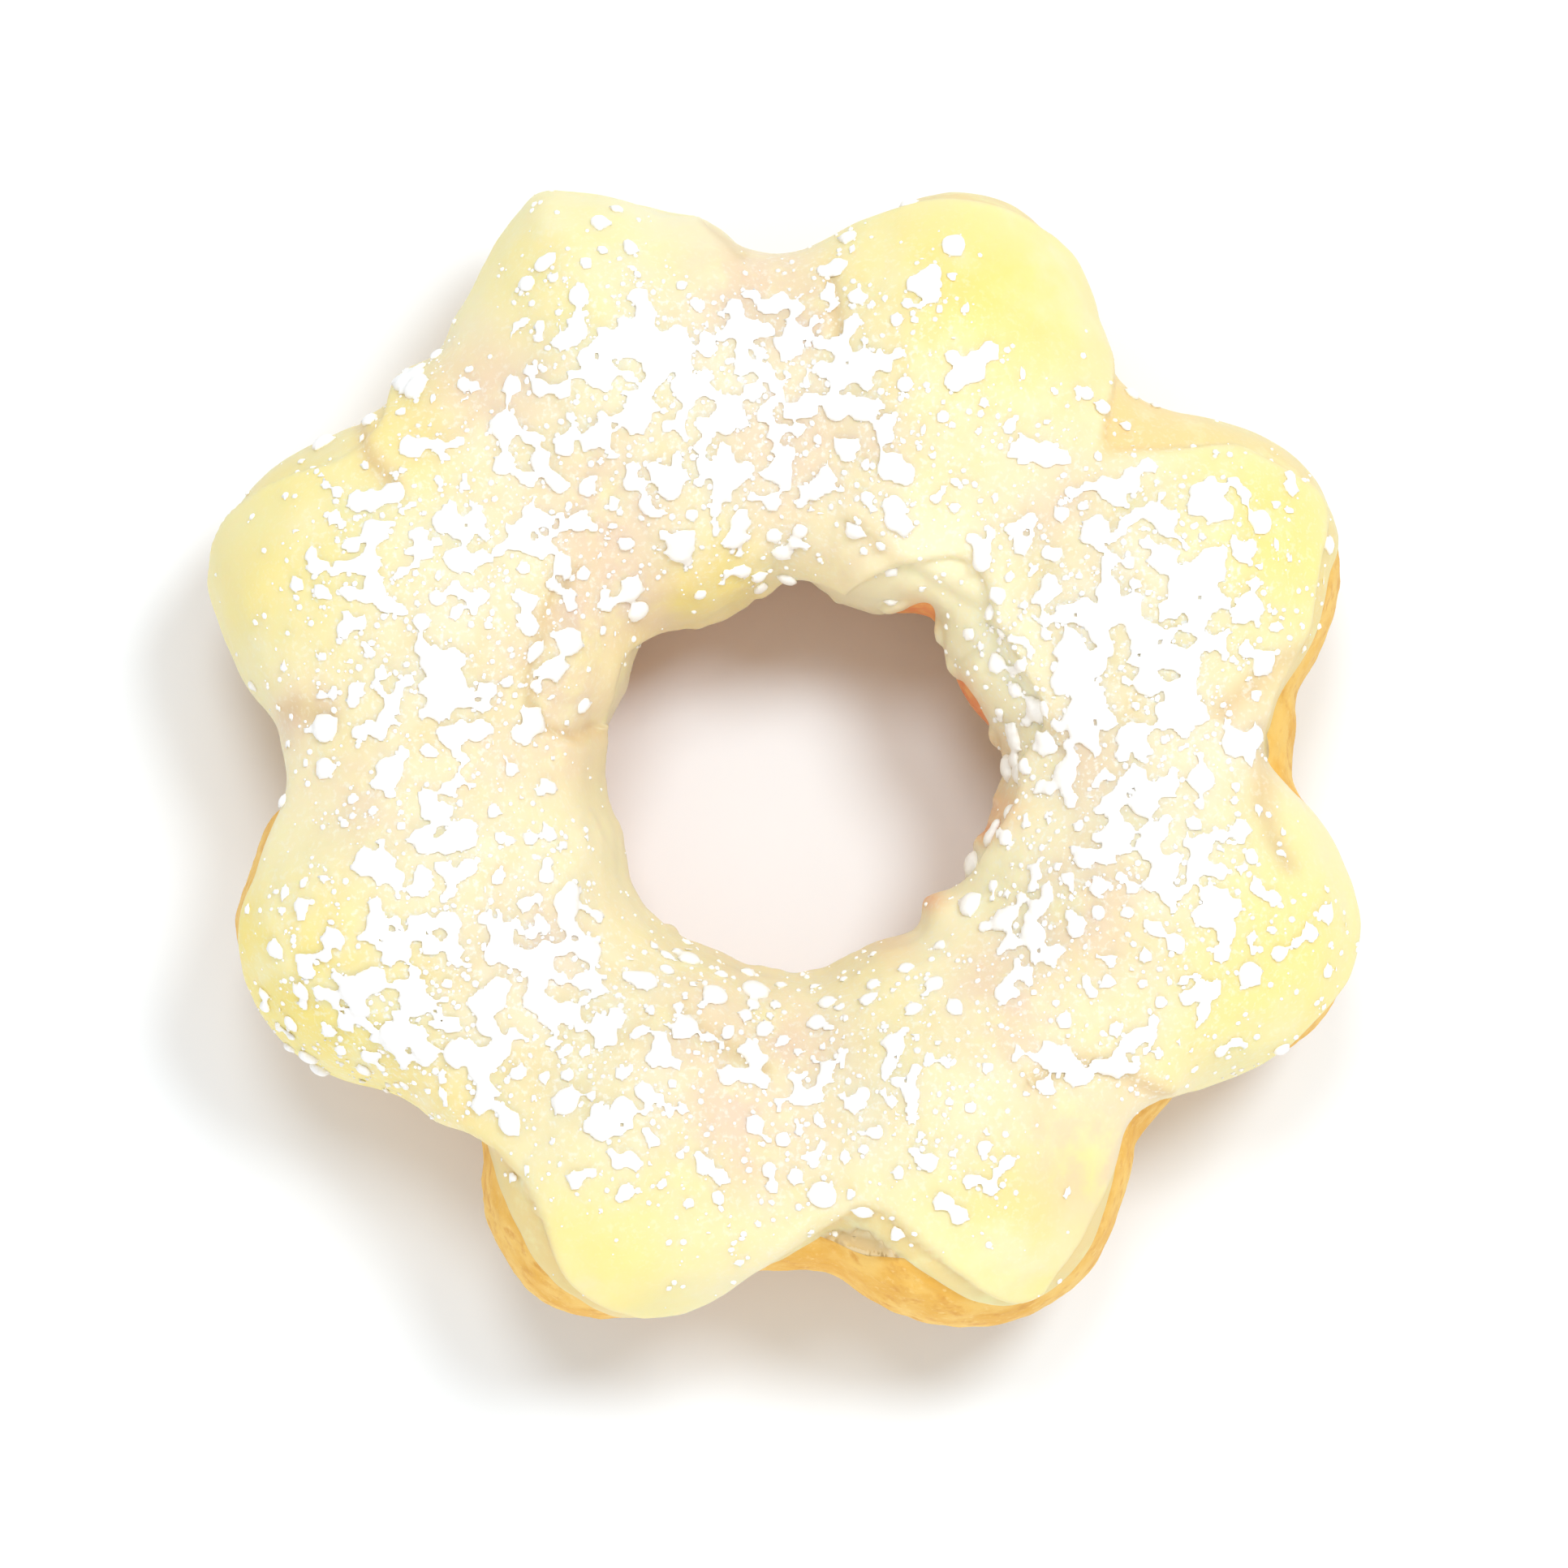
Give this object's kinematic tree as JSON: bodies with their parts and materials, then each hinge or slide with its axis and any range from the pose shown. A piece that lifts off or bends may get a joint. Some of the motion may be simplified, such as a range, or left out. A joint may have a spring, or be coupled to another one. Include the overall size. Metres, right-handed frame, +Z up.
{
  "type": "mochi doughnut",
  "caption": "Ring doughnut of fused dough balls, dipped in pale lemon icing with a wavy edge and dusted with clumped icing sugar.",
  "frame": {"origin": "on the surface that the doughnut rests on, under the middle of its outline", "axes": "+Z up through the hole; +X to the right and +Y away, as seen in the picture from above"},
  "size_m": [0.0801, 0.0794, 0.0281],
  "materials": {
    "dough": "golden fried crust, dry and finely wrinkled",
    "icing": "set lemon icing with a satin sheen, thin enough in places for the dough to show through",
    "sugar": "dry white icing sugar in clumps and grains"
  },
  "bodies": {
    "root": {"dough": "dough", "icing": "icing"}
  },
  "joints": []
}
